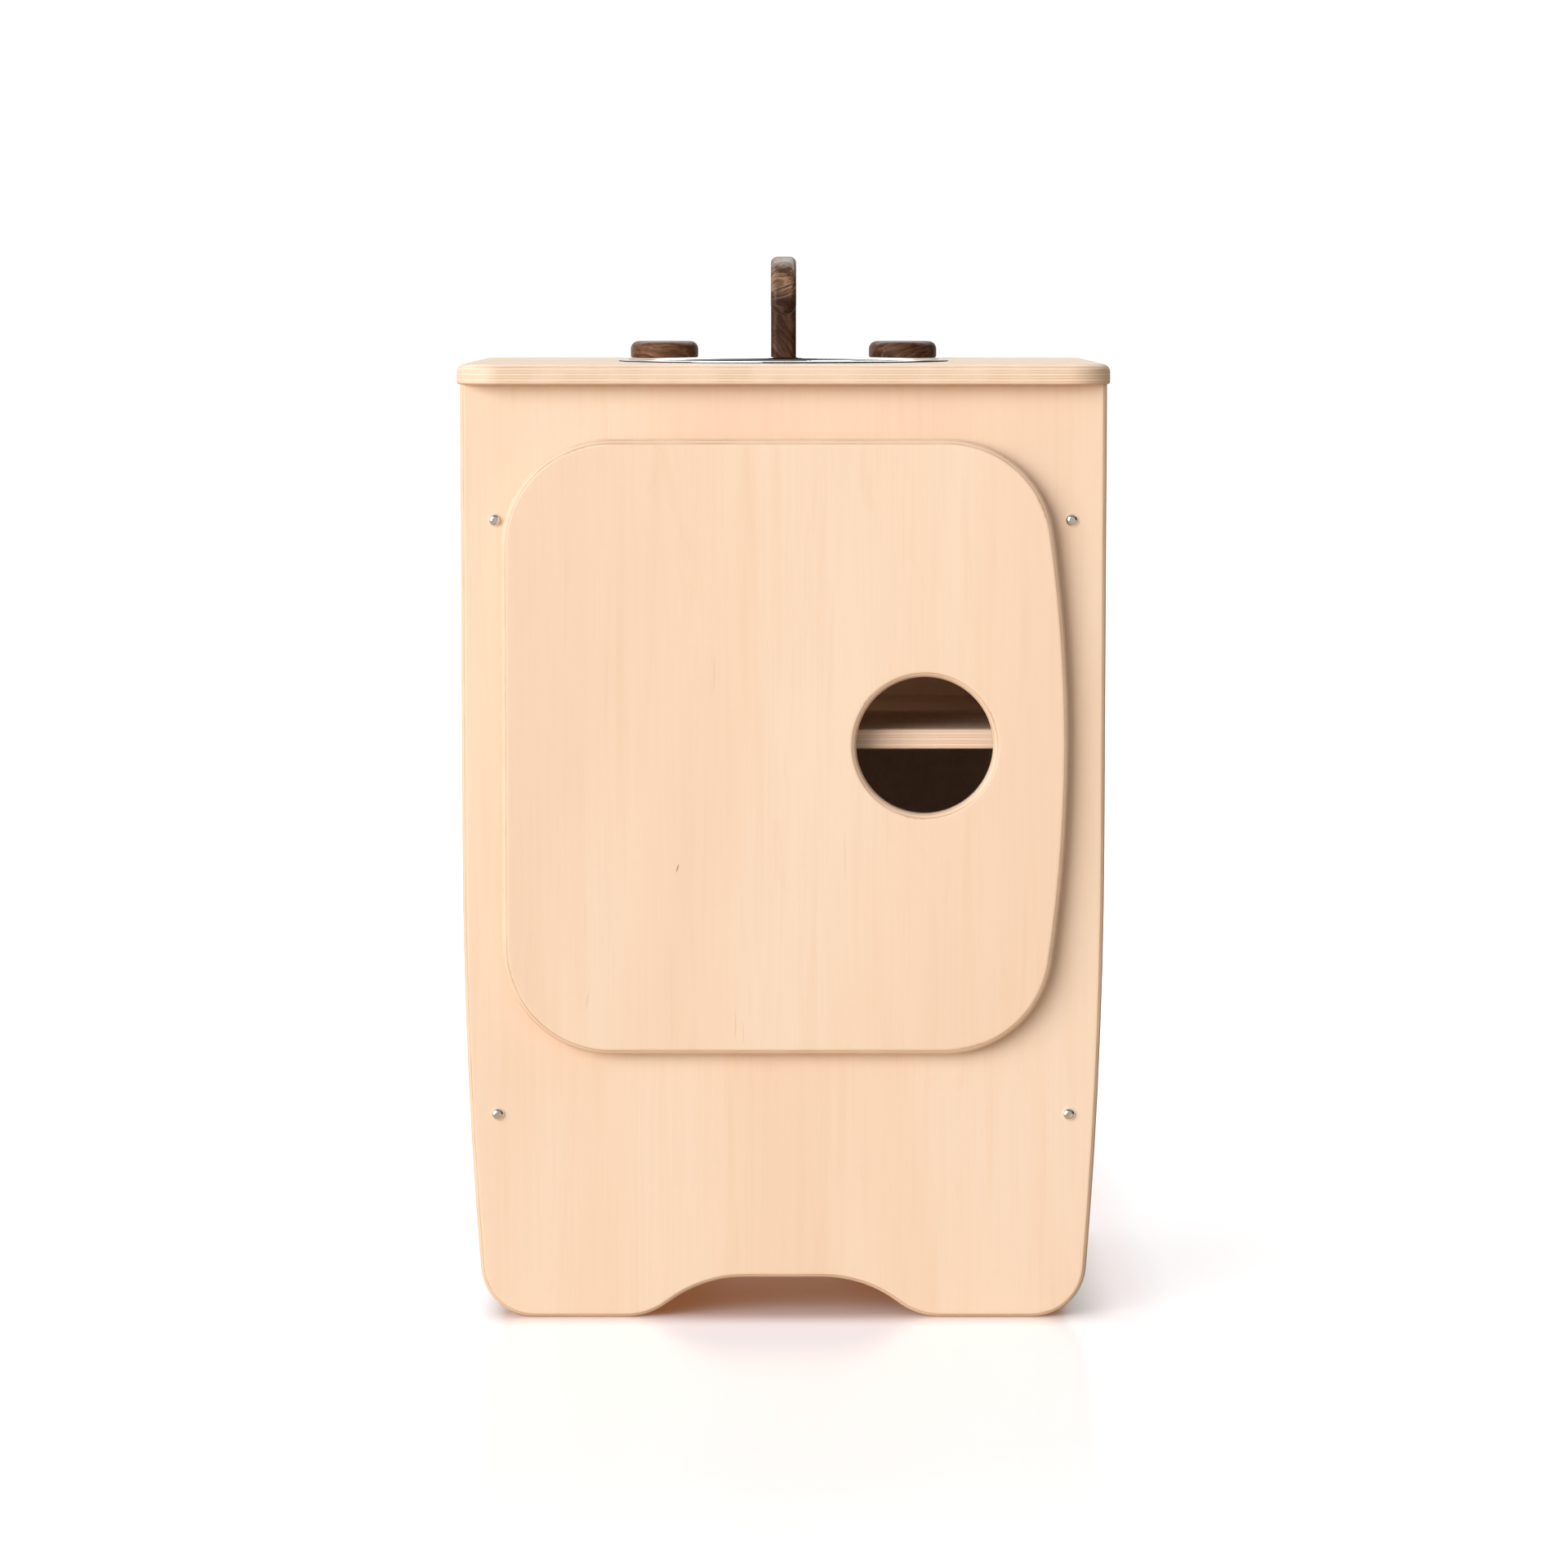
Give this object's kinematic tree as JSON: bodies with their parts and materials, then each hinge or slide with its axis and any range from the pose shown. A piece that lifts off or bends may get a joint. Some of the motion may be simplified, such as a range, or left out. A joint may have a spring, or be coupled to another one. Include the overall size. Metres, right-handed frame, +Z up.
{
  "type": "toy play sink",
  "caption": "Toddler's plywood play kitchen: a sink cabinet with a lift-out steel bowl, a turning wooden tap and knobs, and a hinged door with a finger hole over a shelved cupboard.",
  "frame": {"origin": "on the floor, in the middle of the counter's width and depth", "axes": "+X to the right when facing the door, +Y towards the closed back, +Z up"},
  "size_m": [0.387, 0.31, 0.6349],
  "materials": {
    "birch_ply": "clear satin lacquer on pale plywood",
    "cleat_wood": "planed softwood",
    "dowel_wood": "plain beech dowel",
    "walnut": "dark walnut, satin lacquer",
    "stainless_steel": "polished stainless steel",
    "bolt_steel": "bright nickel plate",
    "zinc_steel": "zinc plate",
    "magnet": "nickel plate",
    "brass": "plain brass"
  },
  "bodies": {
    "cabinet": {"front_panel": "birch_ply", "back_panel": "birch_ply", "left_side_panel": "birch_ply", "right_side_panel": "birch_ply", "counter_top": "birch_ply", "shelf": "birch_ply", "bottom_board": "birch_ply", "left_counter_cleat": "cleat_wood", "right_counter_cleat": "cleat_wood", "cleat_side_screws": "zinc_steel", "cleat_counter_screws": "zinc_steel", "front_panel_bolts": "bolt_steel", "back_panel_bolts": "bolt_steel", "left_barrel_nuts": "zinc_steel", "right_barrel_nuts": "zinc_steel", "shelf_pins": "dowel_wood", "bottom_board_dowels": "dowel_wood", "lower_hinge_bracket": "zinc_steel", "upper_hinge_bracket": "zinc_steel", "hinge_screws": "zinc_steel", "catch_magnet": "magnet", "left_knob_washer": "zinc_steel", "tap_washer": "zinc_steel", "right_knob_washer": "zinc_steel"},
    "door": {"door": "birch_ply", "lower_hinge_pin": "zinc_steel", "upper_hinge_pin": "zinc_steel", "strike_disc": "zinc_steel"},
    "left_knob": {"left_knob": "walnut", "left_knob_insert": "brass", "left_knob_axle_bolt": "zinc_steel"},
    "right_knob": {"right_knob": "walnut", "right_knob_insert": "brass", "right_knob_axle_bolt": "zinc_steel"},
    "tap": {"tap": "walnut", "tap_insert": "brass", "tap_axle_bolt": "zinc_steel"},
    "bowl": {"sink_bowl": "stainless_steel"}
  },
  "joints": [
    {"name": "door_hinge", "type": "hinge", "parent": "cabinet", "child": "door", "pos_m": [-0.162, -0.1465, 0.3437], "axis": [0, 0, -1], "range_deg": [0, 100]},
    {"name": "left_knob_turn", "type": "hinge", "parent": "cabinet", "child": "left_knob", "pos_m": [-0.0757, 0.107, 0.5711], "axis": [0, 0, 1], "continuous": true},
    {"name": "right_knob_turn", "type": "hinge", "parent": "cabinet", "child": "right_knob", "pos_m": [0.0757, 0.107, 0.5711], "axis": [0, 0, 1], "continuous": true},
    {"name": "tap_swivel", "type": "hinge", "parent": "cabinet", "child": "tap", "pos_m": [0, 0.107, 0.5711], "axis": [0, 0, 1], "range_deg": [-90, 90]},
    {"name": "bowl_lift", "type": "slide", "parent": "cabinet", "child": "bowl", "axis": [0, 0, 1], "range_m": [0, 0.026]}
  ]
}
